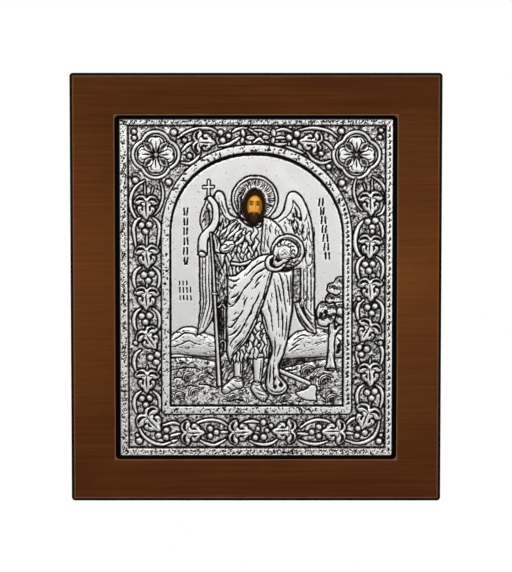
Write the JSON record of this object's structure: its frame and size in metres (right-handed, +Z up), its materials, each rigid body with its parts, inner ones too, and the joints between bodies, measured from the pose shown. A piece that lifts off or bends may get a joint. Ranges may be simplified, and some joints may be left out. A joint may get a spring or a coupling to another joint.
{
  "type": "icon panel",
  "caption": "Wall icon: embossed silver cover of a winged saint under an arch with a vine border, let into a chamfered wooden board.",
  "frame": {"origin": "centre of the board's back face, which lies against the wall", "axes": "+X to the right seen from the front, +Z up along the board's height, the front faces -Y and the back +Y"},
  "size_m": [0.27, 0.02, 0.312],
  "materials": {
    "wood": "dark brown varnished wood with near-black chamfers and rubbed edge lines",
    "silver": "embossed silver, polished high points and blackened grooves",
    "paint": "small painted wooden panel, ochre skin and dark brown hair, satin varnish"
  },
  "bodies": {
    "root": {"wood_board": "wood", "silver_cover": "silver", "painted_face": "paint"}
  },
  "joints": []
}
